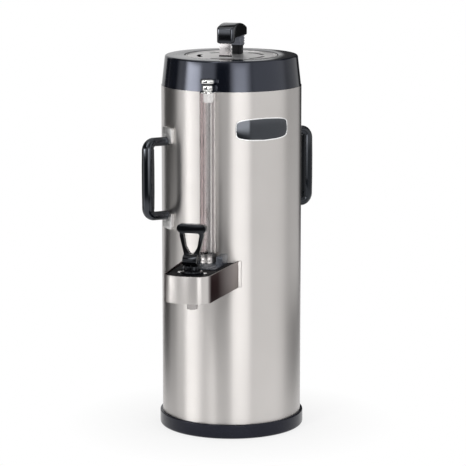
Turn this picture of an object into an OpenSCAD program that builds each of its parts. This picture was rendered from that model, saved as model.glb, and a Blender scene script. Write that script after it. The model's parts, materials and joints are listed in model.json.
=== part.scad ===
// Thermal coffee dispenser: a tall steel tube that holds a vacuum vessel in its upper part,
// with a lift-off lid, two side handles, a sight gauge and a self-closing faucet in a steel shroud.
// Millimetres, +Z up. The origin is on the tube's axis at the counter, and the faucet faces -Y.

/* [Steel shell] */
// Outside diameter of the steel tube
shell_d = 216; // [206:1:230]
// Wall of the steel tube
shell_wall = 0.8; // [0.8:0.1:1.4]
// Height of the tube's top edge above the counter
shell_top = 535; // [525:1:600]

/* [Base] */
// Height of the base moulding's top edge above the counter
base_top = 23; // [20:1:32]
// How far the base stands out past the tube
base_lip = 4; // [3:0.5:7]
// Thickness of the base floor
base_floor = 5; // [4.6:0.2:7]
// Radius of the base's lower edge
base_edge_r = 4; // [2:0.5:6]
// Radius of the base's upper edge
base_top_r = 1.5; // [0.5:0.25:2]
// Height above the counter at which the tube stands in the base
shell_seat = 8; // [7:0.5:12]
// Thickness of the lip that stands inside the tube
base_inner_lip = 3; // [2:0.5:4]
// How far the inner lip ends below the base's top edge
inner_lip_drop = 3; // [1:0.5:6]
// Width of the rubber foot ring
foot_w = 12; // [8:1:14]
// Thickness of the rubber foot ring
foot_t = 2.6; // [2:0.2:3.4]
// How far the foot ring stands below the base
foot_proud = 0.6; // [0.4:0.1:1]
// Gap from the tube's inside to the foot ring
foot_inset = 7; // [6:0.5:10]

/* [Vessel] */
// Room between the vacuum jacket and the tube
jacket_room = 10.8; // [8:0.2:16]
// Sheet thickness of the liner and the jacket
vessel_sheet = 0.7; // [0.6:0.1:1.2]
// Gap between the liner and the jacket
vacuum_gap = 7; // [5:0.5:8]
// Height of the outlet's axis above the liner's floor
outlet_rise = 14.5; // [14:0.5:24]
// Inside radius of the liner's lower corner
liner_corner_r = 4; // [2:0.5:4.5]
// Inside radius of the jacket's lower corner
jacket_corner_r = 8; // [5:0.5:10]
// Inside diameter of the vessel's neck
neck_d = 116; // [108:1:117]
// Straight length of the neck
neck_len = 22; // [16:1:30]
// Gap between the two neck walls
neck_gap = 2.4; // [1.6:0.2:3]
// Width of the flange that closes the neck
neck_flange_w = 8.5; // [7:0.5:10]
// Thickness of the silicone ring on the neck's flange
neck_seal_t = 1.2; // [0.8:0.1:2]
// Width of the silicone ring on the neck's flange
neck_seal_w = 4.5; // [3:0.5:4.5]
// How far the skirt stands inside the flat of the jacket's floor
stand_inset = 1.7; // [1:0.1:8]
// Sheet thickness of the skirt
stand_sheet = 1.2; // [1:0.1:2]
// Width of the skirt's two flanges
stand_flange = 17; // [15:1:24]

/* [Collar] */
// Height of the collar above the tube
collar_h = 46; // [40:1:56]
// How far the collar's foot stands inside the tube's outside
collar_step = 0.7; // [0.4:0.1:0.8]
// How far the collar's wall draws in from foot to top
collar_draw = 4.8; // [2:0.2:8]
// Wall of the collar
collar_wall = 3; // [2.4:0.2:4]
// Radius of the collar's upper edge
collar_edge_r = 3; // [1.5:0.5:5]
// Length of the collar's spigot inside the tube
collar_spigot = 14; // [10:1:20]
// Depth of the lid's recess below the collar's top
lid_recess = 4.5; // [4:0.1:6]
// Thickness of the ledge that the lid rests on
lid_ledge = 3.5; // [2.5:0.5:5]
// How far the ledge's edge stands back from the vessel's neck
ledge_back = 2.5; // [1.5:0.25:4]
// Gap round the lid's rim
lid_side_gap = 1; // [0.6:0.1:2]

/* [Lid] */
// How far the lid's plate reaches past the vessel's neck
lid_lap = 13; // [11:0.5:15]
// Sheet thickness of the lid's plate
lid_sheet = 1; // [0.8:0.1:1.4]
// Section radius of the bead round the lid's rim
lid_bead_r = 1.2; // [1:0.1:1.6]
// Thickness of the lid's gasket
lid_gasket_t = 1.6; // [1.2:0.1:2]
// Width of the lid's gasket
lid_gasket_w = 6; // [4:0.5:7]
// Gap between the insulated plug and the vessel's neck
plug_gap = 2; // [1:0.25:6]
// Depth of the insulated plug
plug_h = 30; // [20:1:36]
// Wall of the insulated plug
plug_wall = 2.5; // [2:0.25:3.5]
// Distance of the slots' middle line from the inside of the plug's wall
slot_inset = 3.5; // [2.5:0.25:8]
// Width of a lid slot
slot_w = 3.2; // [2:0.2:4]
// Angle that a lid slot covers
slot_angle = 42; // [20:1:60]
// Number of slots in the lid
slot_count = 5; // [3:1:6]

/* [Lid grip] */
// Length of the grip bar from front to back
grip_l = 77; // [64:1:84]
// Width of the grip bar
grip_w = 27; // [22:1:30]
// Depth of the bar at its thin rear part
grip_t = 16; // [14:0.5:20]
// Depth of the bar's hooked front end
grip_hook_h = 23; // [19:0.5:26]
// Length of the hooked front end
grip_hook_l = 17; // [12:1:22]
// Rise of the bar's arched top over its front edge
grip_crown = 5.5; // [2:0.5:7]
// Fall of the arched top from the front edge to the rear end
grip_fall = 4.5; // [0:0.5:5]
// Corner radius of the bar in plan
grip_corner_r = 5; // [3:0.5:8]
// Height of the bar's underside above the lid plate
grip_lift = 29; // [26:1:36]
// Distance of the bar's middle behind the tube's axis
grip_back = 3.5; // [0:0.5:8]
// Distance of the post's middle from the bar's rear end
post_inset = 9.5; // [9.5:0.5:16]
// Width of the post's foot
post_foot_w = 15; // [12:0.5:17]
// Length of the post from front to back
post_l = 17; // [16.5:0.5:22]
// Height of the post's foot
post_foot_h = 12.5; // [8:0.5:14]
// How far the ridged neck stands out from the foot, per side
post_neck_out = 1; // [0.5:0.25:2]
// How far the ridges stand out from the neck
ridge_out = 1; // [0.6:0.1:1.5]
// Number of ridges on the post's neck
ridge_count = 4; // [2:1:5]
// Distance between the two lid screws
lid_screw_pitch = 9.5; // [9.3:0.1:10]

/* [Handles] */
// Angle of the left handle from the faucet, seen from above
left_handle_angle = 45; // [40:1:70]
// Angle of the right handle from the faucet, seen from above
right_handle_angle = 141.5; // [110:0.5:145]
// Distance from the tube's top edge down to the handles' middle
handle_drop = 138; // [110:1:160]
// Distance between a handle's two arms
handle_pitch = 114; // [104:1:130]
// Diameter of the grip
handle_d = 19; // [16:0.5:21]
// Diameter of the arms at the tube
arm_d = 13.6; // [11:0.2:14]
// Finger room between the tube and the grip
finger_gap = 26; // [24:0.5:40]
// Bend radius of the grip's middle line
bend_r = 11; // [10.5:0.5:16]
// Width of a handle bracket round the tube
bracket_w = 30; // [27:0.5:36]
// Height of a handle bracket
bracket_h = 24; // [22:0.5:28]
// How far a bracket stands out from the tube
bracket_proud = 4.8; // [4.2:0.1:6]
// Sheet thickness of a bracket
bracket_sheet = 1.4; // [1:0.1:1.8]
// Corner radius of a bracket
bracket_corner_r = 4; // [3:0.5:6]
// Distance from an arm's axis to its bracket's middle
bracket_shift = 9; // [8:0.5:9.5]

/* [Outlet] */
// Height of the outlet's axis above the counter
outlet_z = 258; // [240:1:262]
// Outside diameter of the outlet pipe
pipe_d = 19; // [17:0.5:20]
// Bore of the outlet pipe
pipe_bore = 12; // [10:0.5:13]
// How far the pipe stands into the liner
pipe_inside = 2; // [1:0.5:4]
// Outside diameter of the rubber bush in the shell
bush_d = 25; // [24:0.5:28]
// Diameter of the bush's inner flange
bush_flange_d = 32; // [30:0.5:36]
// Thickness of the bush's inner flange
bush_flange_t = 2.6; // [2:0.2:3]
// How far the bush stands out of the shell
bush_out = 2; // [1:0.5:3]

/* [Gauge] */
// Outside diameter of the gauge's clear shield
shield_d = 24; // [22:0.5:27]
// Wall of the clear shield
shield_wall = 1.4; // [1:0.1:1.8]
// Gap between the tube and the shield
shield_gap = 2; // [1.5:0.25:5]
// Height of the shield's top above the tube's top edge
shield_over = 1; // [-8:0.5:4]
// Outside diameter of the gauge glass
glass_d = 14; // [12:0.5:15]
// Wall of the gauge glass
glass_wall = 2; // [1.5:0.25:2.5]
// Distance from the shield's top down to the glass's top
glass_short = 8; // [6:0.5:10]
// Diameter of the cap's top disc
cap_d = 22; // [20:0.5:25]
// Height of the cap's top disc
cap_disc_h = 6; // [4:0.5:8]
// Diameter of the cap's bulb
cap_bulb_d = 17; // [15:0.5:18]
// Height of the cap's bulb
cap_bulb_h = 10; // [8:0.5:14]
// Depth of the cap's plug inside the shield
cap_plug_h = 14; // [12:0.5:20]
// Height of the cap's rim on the shield
cap_rim_h = 2; // [1.5:0.25:3]
// Diameter of the cap's vent
vent_d = 3; // [2:0.5:4]
// Section diameter of the cap's sealing ring
cap_ring_d = 2; // [1.6:0.1:2.4]
// Height of the fitting that holds the gauge's foot
seat_h = 14; // [12:0.5:18]
// Diameter of the fitting's flange
seat_flange_d = 28; // [28:0.5:31]
// Thickness of the fitting's flange
seat_flange_t = 2.5; // [2:0.25:4]
// Wall of the fitting's sleeve round the shield
seat_wall = 1; // [0.8:0.1:1.4]
// Floor of the fitting under the glass's washer
seat_floor = 1.2; // [0.8:0.1:1.6]
// Thickness of the washer under the glass
washer_t = 1.5; // [1:0.1:2]
// Width of the moulded block under the gauge
block_w = 52; // [50:1:60]
// Depth of the block in front of the tube
block_depth = 42; // [40:0.5:44]
// Length of the block's nose over the deck
block_nose = 18; // [12:0.5:20]
// Wall of the block under the outlet pipe
block_wall = 4.5; // [3:0.5:6]
// Height of the block's top above the deck
block_raise = 3; // [2:0.5:5]
// Radius of the cheeks' upper corner
cheek_r = 4; // [2:0.5:6]
// Height of the block's two cheeks above the deck
cheek_h = 14; // [10:0.5:18]
// Thickness of a cheek
cheek_w = 9; // [7:0.5:10]

/* [Faucet] */
// Distance of the faucet's axis in front of the tube
faucet_reach = 90; // [88:0.5:98]
// Diameter of the faucet's body
body_d = 30; // [28:0.5:33]
// Height of the body's top above the outlet's axis
body_up = 14.5; // [14:0.5:16]
// Depth of the body's bottom below the outlet's axis
body_down = 24; // [21:0.5:28]
// Diameter of the valve chamber
chamber_d = 20; // [19:0.5:21]
// Depth of the valve seat below the outlet's axis
seat_down = 10; // [8:0.5:12]
// Bore of the spout
spout_bore = 12; // [9:0.5:12]
// Outside diameter of the spout's tip
spout_d = 16; // [15:0.5:18]
// Length of the spout's tip below the body
spout_l = 12; // [8:0.5:20]
// Depth of the spout's tip inside the body
spout_hold = 4; // [3:0.5:6]
// Height of the body's tapered foot
body_taper = 9; // [6:0.5:10]
// Diameter of the socket that takes the outlet pipe
socket_d = 26; // [25:0.5:27]
// How far the pipe runs into the socket
socket_depth = 16; // [12:0.5:18]
// Width across the flats of the coupling nut
nut_af = 26; // [25:0.5:27]
// Length of the coupling nut
nut_l = 11.5; // [10:0.5:12]
// Thickness of the coupling's gasket
nut_gasket_t = 2; // [1.5:0.1:2.4]
// Diameter of the bonnet's flange
bonnet_flange_d = 31; // [29:0.5:34]
// Height of the bonnet's flange
bonnet_flange_h = 3.5; // [2.5:0.5:5]
// Diameter of the bonnet's fluted part
bonnet_d = 25; // [24:0.5:28]
// Height of the bonnet's fluted part
bonnet_h = 8.6; // [7:0.2:12]
// Number of flutes round the bonnet
flute_count = 16; // [12:1:20]
// Radius of a flute
flute_r = 1.1; // [0.8:0.1:1.4]
// Roof of the bonnet over the spring
bonnet_roof = 4; // [3:0.5:6]
// Room between the lifted seat cup and the bonnet
cup_clear = 2.4; // [1.5:0.1:3]
// Diameter of the spring's room in the bonnet
spring_room_d = 15.2; // [14.4:0.2:16]
// Middle diameter of the spring's coil
spring_d = 11.2; // [10:0.2:12]
// Wire of the spring
spring_wire = 1.4; // [1:0.1:1.6]
// Number of turns of the spring
spring_turns = 7; // [5:1:8]
// Diameter of the valve stem
stem_d = 6; // [5:0.5:7]
// Diameter of the eye at the stem's top
eye_d = 10; // [9:0.5:11]
// Width of the eye at the stem's top
eye_w = 6.6; // [6:0.2:8]
// Diameter of the lever's pin
pin_d = 4; // [3:0.5:5]
// Diameter of the silicone seat cup
cup_d = 16.8; // [15.5:0.2:17.4]
// Height of the silicone seat cup
cup_h = 9; // [7:0.5:10]
// Depth of the stem's end in the cup
cup_hold = 5; // [4:0.5:6]

/* [Lever] */
// Width of the lever's hub
hub_w = 21.5; // [20:0.5:26]
// Radius of the hub and of its cam
cam_r = 8.5; // [7.5:0.5:10]
// How far the cam's centre lies in front of the pin
cam_reach = 6.5; // [5:0.5:8]
// Largest tilt of the lever, in degrees
lever_tilt = 38; // [30:1:40]
// Height of the lever's top above the pin
lever_h = 53; // [46:1:62]
// Width of the lever's top bar
lever_w = 44.6; // [40:0.2:50]
// Height of the lever's top bar
lever_bar_h = 13; // [11:0.5:15]
// Thickness of the lever's top bar
lever_bar_t = 11; // [9:0.5:13]
// Thickness of the lever's legs
lever_leg_t = 8.5; // [7:0.5:10]
// Width of the lever's legs at the top bar
lever_shoulder_w = 36.5; // [34:0.5:40]
// Width of the lever's window at its top
window_w = 25; // [20:0.2:26]
// Corner radius of the window's top
window_r = 3.4; // [2:0.2:5]
// Radius of the window's bowed sides
window_side_r = 10; // [8:0.5:11]
// Depth of the bowed sides' middle below the window's top
window_side_drop = 17; // [12:0.5:20]
// Radius of the window's lower end
window_tip_r = 5.5; // [3:0.25:6]
// Height of the window's lower end above the pin
window_rise = 8.5; // [8:0.5:14]

/* [Shroud] */
// Height of the steel band
shroud_h = 41; // [40:0.5:46]
// Depth of the band's lower edge below the outlet's axis
shroud_drop = 20.5; // [19:0.5:23]
// Width of the band where it meets the tube
shroud_w = 83; // [80:0.5:92]
// Angle at which each side draws in
shroud_taper = 2.9; // [1:0.1:4]
// How far the band's nose stands in front of the faucet's axis
shroud_nose = 42; // [38:0.5:48]
// Radius of the band's bowed front
bow_r = 78; // [66:1:110]
// Radius of the band's front corners
corner_r = 22; // [16:0.5:26]
// Sheet thickness of the band
band_t = 1.5; // [1.2:0.1:2]
// Width of the flange that lies on the tube
flange_w = 4; // [3:0.5:6]
// Thickness of the deck inside the band
deck_t = 3.3; // [2.5:0.1:4]
// Distance of a deck screw from the faucet's axis
deck_screw_x = 19.5; // [19:0.25:22]

/* [Fasteners] */
// Shank diameter of the base, handle and lid screws
screw_d = 5; // [4:0.5:5]
// Head diameter of the base, handle and lid screws
screw_head_d = 9; // [8:0.5:9.5]
// Head height of the base, handle and lid screws
screw_head_h = 2.8; // [2.4:0.1:3]
// Number of base screws
base_screws_n = 4; // [3:1:8]
// Angle of the first base screw from the right side
base_screw_angle = 45; // [0:5:85]
// Depth of a handle screw in its arm
arm_screw_l = 14; // [10:1:16]
// Shank diameter of the deck screws
deck_screw_d = 3.5; // [3:0.25:4]
// Head diameter of the deck screws
deck_head_d = 6.6; // [6:0.2:7]
// Head height of the deck screws
deck_head_h = 2; // [1.6:0.1:2.4]
// Length of a deck screw in the faucet's body
deck_screw_l = 9; // [6:0.5:10]

/* [Clearances] */
// Gap between faces that seat on each other
seat_gap = 0.1; // [0.05:0.01:0.15]
// Radial gap of running and locating fits
run_gap = 0.05; // [0.02:0.01:0.08]
// Gap round covers and between parts that move past each other
cover_gap = 0.3; // [0.2:0.05:0.4]

/* [Hidden] */
$fn = 96;
arc_steps = 8;
screw_fn = 32;
// Overshoot of cuts past the faces they open
over = 1;
// Depth that blanks run into the tube before the tube's curve trims them
blank_in = 20;
// Small radius of moulded edges
soft_r = 1;

shell_r = shell_d / 2;
shell_in_r = shell_r - shell_wall;

base_r = shell_r + base_lip;
base_bottom = foot_proud;
floor_top = base_bottom + base_floor;
foot_out_r = shell_in_r - foot_inset;
base_head_z = base_bottom + screw_head_h + cover_gap - seat_gap;

collar_top = shell_top + collar_h;
ledge_z = collar_top - lid_recess;
collar_foot_r = shell_r - collar_step;
collar_head_r = collar_foot_r - collar_draw;

jacket_r = shell_in_r - jacket_room - vessel_sheet;
liner_r = jacket_r - vacuum_gap - vessel_sheet;
liner_floor = outlet_z - outlet_rise;
neck_r = neck_d / 2;
neck_flange_r = neck_r + neck_flange_w;
ledge_r = neck_r + ledge_back;
neck_top = ledge_z - lid_ledge - seat_gap - neck_seal_t - seat_gap;
liner_shoulder = neck_top - neck_len - (liner_r - neck_r);
jacket_neck_r = neck_r + vessel_sheet + neck_gap;
jacket_floor = liner_floor - vessel_sheet - vacuum_gap;
jacket_bottom = jacket_floor - vessel_sheet;
jacket_shoulder = liner_shoulder + (vessel_sheet + vacuum_gap) * tan(22.5);
stand_r = jacket_r - jacket_corner_r - stand_inset;
stand_screw_r = stand_r - stand_sheet - (stand_flange - stand_sheet) / 2;

lid_r = neck_r + lid_lap;
lid_hole_r = lid_r + lid_side_gap;
lid_rim_z = ledge_z + lid_gasket_t + seat_gap;
lid_top = lid_rim_z + lid_sheet;
plug_out_r = neck_r - plug_gap;
plug_bottom = lid_rim_z - seat_gap - plug_h;
slot_circle_r = plug_out_r - plug_wall - slot_inset;
grip_z = lid_top + grip_lift;
post_back = grip_back + grip_l / 2 - post_inset;
post_neck_h = grip_lift - post_foot_h - 2 * seat_gap;
lid_screw_top = grip_z + grip_t / 2;

handle_z = shell_top - handle_drop;
grip_r = shell_r + finger_gap + handle_d / 2;
pocket_proud = bracket_proud - bracket_sheet;
foot_plate_w = bracket_w - 2 * bracket_sheet - 2 * cover_gap;
foot_plate_h = bracket_h - 2 * bracket_sheet - 2 * cover_gap;

pipe_r = pipe_d / 2;
gauge_y = shell_r + shield_gap + shield_d / 2;
faucet_y = shell_r + faucet_reach;
deck_bottom = outlet_z + body_up + seat_gap;
deck_top = deck_bottom + deck_t;
block_front = shell_r + block_depth;
block_bottom = outlet_z - pipe_r - block_wall;
gauge_base = deck_top + block_raise;
washer_low = gauge_base + seat_gap + seat_floor + seat_gap;
glass_bottom = washer_low + washer_t + seat_gap;
shield_top = shell_top + shield_over;
glass_top = shield_top - glass_short;
glass_bore_r = glass_d / 2 - glass_wall;
cap_rim = shield_top + seat_gap;
bulb_top = cap_rim + cap_rim_h + cap_bulb_h;
nut_start = block_front + seat_gap;
gasket_start = nut_start + nut_l + seat_gap;
socket_start = gasket_start + nut_gasket_t + seat_gap;

bonnet_base = deck_top + seat_gap;
bonnet_top = bonnet_base + bonnet_flange_h + bonnet_h;
spring_roof = bonnet_top - bonnet_roof;
seat_z = outlet_z - seat_down;
cup_bottom = seat_z + seat_gap;
cup_top = cup_bottom + cup_h;
pin_z = bonnet_top + cover_gap + cam_r;
eye_room = eye_d / 2 + cover_gap;
window_top = pin_z + lever_h - lever_bar_h;
stem_travel = cam_reach * lever_tilt * PI / 180;
bonnet_low = cup_top + stem_travel + cup_clear;

shroud_bottom = outlet_z - shroud_drop;
nose_y = faucet_y + shroud_nose;
bow_y = nose_y - bow_r;

steel = "#c9c7c4";
bright_steel = "#dddddb";
inner_steel = "#b4b6b8";
gloss_black = "#2a2c36";
black = "#1d1e24";
rubber = "#26262a";
silicone = "#d8d4c8";
clear = "#cfe0e6";

// Points of an arc round c, from angle a0 to a1
function arc(c, r, a0, a1, n = arc_steps) =
  [for (i = [0:n]) c + r * [cos(a0 + (a1 - a0) * i / n), sin(a0 + (a1 - a0) * i / n)]];

// Same outline seen in a mirror across the Y axis, walked the other way round
function mirrored(p) = [for (i = [len(p) - 1:-1:0]) [-p[i][0], p[i][1]]];

// Outline of the shroud in plan, with +Y to the front, set in by d from the band's outside
shroud_in = [cos(shroud_taper), sin(shroud_taper)];
shroud_along = [-sin(shroud_taper), cos(shroud_taper)];
corner_line = [0, shell_r] + (shroud_w / 2 * cos(shroud_taper) - corner_r) * shroud_in;
corner_from_bow = corner_line - [0, bow_y];
corner_b = corner_from_bow * shroud_along;
corner_c = corner_from_bow * corner_from_bow - pow(bow_r - corner_r, 2);
corner_at = corner_line + (sqrt(corner_b * corner_b - corner_c) - corner_b) * shroud_along;
corner_end = atan2(corner_at[1] - bow_y, corner_at[0]);
function side_at(d, y) =
  [shroud_w / 2 - d / cos(shroud_taper) - (y - shell_r) * tan(shroud_taper), y];
function shroud_half(d, y0) = concat(
  [side_at(d, y0)],
  arc(corner_at, corner_r - d, shroud_taper, corner_end, 12),
  arc([0, bow_y], bow_r - d, corner_end, 90, 8));
function shroud_outline(d, y0) = concat(shroud_half(d, y0), mirrored(shroud_half(d, y0)));

// Wall line of a vessel: floor, round corner, side, 45 degree shoulder and neck, set out by d
function vessel_line(r, n, floor_z, corner, shoulder_z, top_z, d) = concat(
  [[0, floor_z - d]],
  arc([r - corner, floor_z + corner], corner + d, -90, 0),
  [[r + d, shoulder_z + d * tan(22.5)],
   [n + d, shoulder_z + r - n + d * tan(22.5)],
   [n + d, top_z]]);
function backwards(p) = [for (i = [len(p) - 1:-1:0]) p[i]];

// Ring of points round the middle line at p, in the plane of the directions a and b
function ring(p, a, b, ra, rb, n) =
  [for (i = [0:n - 1]) p + ra * cos(360 * i / n) * a + rb * sin(360 * i / n) * b];

// Solid skin through a list of rings that have the same number of points
module loft(rings) {
  n = len(rings[0]);
  m = len(rings);
  sides = [for (j = [0:m - 2], i = [0:n - 1]) let (k = (i + 1) % n)
    each [[j * n + i, j * n + k, (j + 1) * n + k], [j * n + i, (j + 1) * n + k, (j + 1) * n + i]]];
  first_cap = [for (i = [1:n - 2]) [0, i + 1, i]];
  last_cap = [for (i = [1:n - 2]) [(m - 1) * n, (m - 1) * n + i, (m - 1) * n + i + 1]];
  polyhedron([for (r = rings) each r], concat(sides, first_cap, last_cap));
}

// Bar along -Y at height z, from y0 to y1 in front of the axis
module front_bar(r, y0, y1, z = outlet_z, fn = $fn) {
  translate([0, -y0, z]) rotate([90, 0, 0]) cylinder(r = r, h = y1 - y0, $fn = fn);
}

// Bar along X of length w, at distance y in front of the axis
module cross_bar(r, w, y, z) {
  translate([-w / 2, -y, z]) rotate([0, 90, 0]) cylinder(r = r, h = w);
}

// Upright tube
module tube(r_out, r_in, z0, z1) {
  translate([0, 0, z0]) difference() {
    cylinder(r = r_out, h = z1 - z0);
    translate([0, 0, -over]) cylinder(r = r_in, h = z1 - z0 + 2 * over);
  }
}

// Rectangle with round corners
module round_rect(w, h, r) {
  square([w - 2 * r, h], center = true);
  square([w, h - 2 * r], center = true);
  for (x = [-1, 1], y = [-1, 1])
    translate([x * (w / 2 - r), y * (h / 2 - r)]) circle(r = r, $fn = screw_fn);
}

// Outline with +X to the front and +Y up, made w wide across the part
module side_slab(w) {
  rotate([90, 0, -90]) linear_extrude(w, center = true) children();
}

// Screw along +Z with a domed head below z = 0
module screw(d, head_d, head_h, l) {
  dome = 0.6 * head_h;
  cylinder(d = d, h = l, $fn = screw_fn);
  rotate_extrude($fn = screw_fn) polygon(concat(
    [[0, 0], [head_d / 2, 0]],
    arc([head_d / 2 - dome, dome - head_h], dome, 0, -90, 4),
    [[0, -head_h]]));
}

// Places for the left and right handles, with +X pointing out of the tube
module handle_side(left) {
  rotate([0, 0, (left ? -left_handle_angle : right_handle_angle) - 90]) children();
}

module outer_shell() {
  color(steel) difference() {
    tube(shell_r, shell_in_r, shell_seat + seat_gap, shell_top);
    front_bar(bush_d / 2 + run_gap, shell_in_r - blank_in, shell_r + over);
    for (left = [true, false], s = [-1, 1]) handle_side(left)
      translate([shell_in_r - over, 0, handle_z + s * handle_pitch / 2]) rotate([0, 90, 0])
        cylinder(d = screw_d + 2 * run_gap, h = shell_wall + 2 * over, $fn = screw_fn);
  }
}

module base_pan() {
  lip_out = shell_in_r - run_gap;
  lip_in = lip_out - base_inner_lip;
  rim_in = shell_r + run_gap;
  profile = concat(
    [[0, base_bottom]],
    arc([base_r - base_edge_r, base_bottom + base_edge_r], base_edge_r, -90, 0),
    arc([base_r - base_top_r, base_top - base_top_r], base_top_r, 0, 90),
    [[rim_in, base_top], [rim_in, shell_seat], [lip_out, shell_seat],
     [lip_out, base_top - inner_lip_drop], [lip_in, base_top - inner_lip_drop], [lip_in, floor_top],
     [0, floor_top]]);
  color(gloss_black) difference() {
    rotate_extrude() polygon(profile);
    tube(foot_out_r + run_gap, foot_out_r - foot_w - run_gap, 0, foot_t + seat_gap);
    for (i = [0:base_screws_n - 1]) rotate([0, 0, base_screw_angle + 360 * i / base_screws_n])
      translate([stand_screw_r, 0, 0]) {
        cylinder(d = screw_d + 2 * run_gap, h = floor_top + over, $fn = screw_fn);
        cylinder(d = screw_head_d + 2 * cover_gap, h = base_head_z + seat_gap, $fn = screw_fn);
      }
  }
}

module foot_ring() {
  color(rubber) tube(foot_out_r, foot_out_r - foot_w, 0, foot_t);
}

module base_screws() {
  color(bright_steel) for (i = [0:base_screws_n - 1])
    rotate([0, 0, base_screw_angle + 360 * i / base_screws_n]) translate([stand_screw_r, 0, base_head_z])
      screw(screw_d, screw_head_d, screw_head_h, base_floor + stand_sheet);
}

module vessel_stand() {
  low = floor_top + seat_gap;
  high = jacket_bottom - seat_gap;
  color(inner_steel) difference() {
    union() {
      tube(stand_r, stand_r - stand_sheet, low, high);
      tube(stand_r, stand_r - stand_flange, low, low + stand_sheet);
      tube(stand_r, stand_r - stand_flange, high - stand_sheet, high);
    }
    for (i = [0:base_screws_n - 1]) rotate([0, 0, base_screw_angle + 360 * i / base_screws_n])
      translate([stand_screw_r, 0, 0])
        cylinder(d = screw_d + 2 * run_gap, h = low + stand_sheet + over, $fn = screw_fn);
  }
}

module vacuum_jacket() {
  top = neck_top - vessel_sheet - seat_gap;
  inside = vessel_line(jacket_r, jacket_neck_r, jacket_floor, jacket_corner_r, jacket_shoulder, top, 0);
  outside = vessel_line(jacket_r, jacket_neck_r, jacket_floor, jacket_corner_r, jacket_shoulder,
    top, vessel_sheet);
  color(inner_steel) difference() {
    rotate_extrude() polygon(concat(outside, backwards(inside)));
    front_bar(pipe_r + run_gap, jacket_r - blank_in, jacket_r + blank_in);
  }
}

module liner() {
  inside = vessel_line(liner_r, neck_r, liner_floor, liner_corner_r, liner_shoulder, neck_top, 0);
  outside = vessel_line(liner_r, neck_r, liner_floor, liner_corner_r, liner_shoulder,
    neck_top - vessel_sheet, vessel_sheet);
  flange = [[neck_flange_r, neck_top - vessel_sheet], [neck_flange_r, neck_top]];
  color(bright_steel) difference() {
    rotate_extrude() polygon(concat(outside, flange, backwards(inside)));
    front_bar(pipe_r + run_gap, liner_r - blank_in, liner_r + blank_in);
  }
}

module neck_seal() {
  low = neck_top + seat_gap;
  color(silicone) tube(neck_flange_r, neck_flange_r - neck_seal_w, low, low + neck_seal_t);
}

module top_collar() {
  foot_z = shell_top + seat_gap;
  spigot_r = shell_in_r - run_gap;
  spigot_low = shell_top - collar_spigot;
  spigot_in = spigot_r - collar_wall;
  roof = collar_top - collar_wall;
  wall_in = collar_head_r - collar_wall;
  well_in = lid_hole_r + collar_wall;
  draft = atan(collar_draw / collar_h);
  profile = concat(
    [[spigot_in, spigot_low], [spigot_r, spigot_low], [spigot_r, foot_z], [collar_foot_r, foot_z]],
    arc([collar_head_r - collar_edge_r, collar_top - collar_edge_r], collar_edge_r, draft, 90),
    arc([lid_hole_r + soft_r, collar_top - soft_r], soft_r, 90, 180, 4),
    [[lid_hole_r, ledge_z], [ledge_r, ledge_z], [ledge_r, ledge_z - lid_ledge],
     [well_in, ledge_z - lid_ledge], [well_in, roof], [wall_in, roof], [spigot_in, foot_z]]);
  color(gloss_black) rotate_extrude() polygon(profile);
}

module outlet_pipe() {
  pipe_end = socket_start + socket_depth;
  color(inner_steel) difference() {
    front_bar(pipe_r, liner_r - pipe_inside, pipe_end);
    front_bar(pipe_bore / 2, liner_r - pipe_inside - over, pipe_end + over);
    translate([0, -gauge_y, outlet_z]) cylinder(r = glass_bore_r, h = pipe_r + over);
  }
}

module shell_bush() {
  flange_y = sqrt(pow(shell_in_r, 2) - pow(bush_flange_d / 2, 2)) - seat_gap;
  color(rubber) difference() {
    union() {
      front_bar(bush_d / 2, flange_y - bush_flange_t, shell_r + bush_out);
      front_bar(bush_flange_d / 2, flange_y - bush_flange_t, flange_y);
    }
    front_bar(pipe_r + run_gap, flange_y - bush_flange_t - over, shell_r + bush_out + over);
  }
}

module gauge_block() {
  back = shell_r - blank_in;
  slope_start = gauge_y + seat_flange_d / 2;
  nose = block_front + block_nose;
  nose_low = deck_top + seat_gap;
  body = [[back, block_bottom], [block_front, block_bottom], [block_front, nose_low],
    [nose, nose_low], [nose, nose_low + soft_r], [slope_start, gauge_base], [back, gauge_base]];
  cheek_top = deck_top + cheek_h;
  cheek_front = gauge_y + shield_d / 2;
  cheek = concat([[back, block_bottom], [cheek_front, block_bottom]],
    arc([cheek_front - cheek_r, cheek_top - cheek_r], cheek_r, 0, 90), [[back, cheek_top]]);
  color(black) difference() {
    union() {
      side_slab(block_w) polygon(body);
      for (s = [-1, 1]) translate([s * (block_w - cheek_w) / 2, 0, 0]) side_slab(cheek_w) polygon(cheek);
    }
    translate([0, 0, block_bottom - over])
      cylinder(r = shell_r + seat_gap, h = cheek_top - block_bottom + 2 * over);
    front_bar(pipe_r + run_gap, back, nose + over);
    front_bar(bush_d / 2 + cover_gap, back, shell_r + bush_out + cover_gap);
    translate([0, -gauge_y, outlet_z]) cylinder(r = glass_bore_r, h = gauge_base - outlet_z + over);
  }
}

module gauge_seat() {
  bottom = gauge_base + seat_gap;
  top = bottom + seat_h;
  flange_r = seat_flange_d / 2;
  sleeve_in = shield_d / 2 + run_gap;
  sleeve_out = sleeve_in + seat_wall;
  washer_r = glass_d / 2 + run_gap;
  lip = 0.4;
  color(bright_steel) translate([0, -gauge_y, 0]) rotate_extrude() polygon([
    [glass_bore_r, bottom], [flange_r, bottom], [flange_r, bottom + seat_flange_t],
    [sleeve_out, bottom + 2 * seat_flange_t], [sleeve_out, top - 4 * lip], [sleeve_out + lip, top],
    [sleeve_in, top], [sleeve_in, glass_bottom - seat_gap], [washer_r, glass_bottom - seat_gap],
    [washer_r, bottom + seat_floor], [glass_bore_r, bottom + seat_floor]]);
}

module gauge_washer() {
  color(silicone) translate([0, -gauge_y, 0])
    tube(glass_d / 2, glass_bore_r, washer_low, washer_low + washer_t);
}

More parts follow.
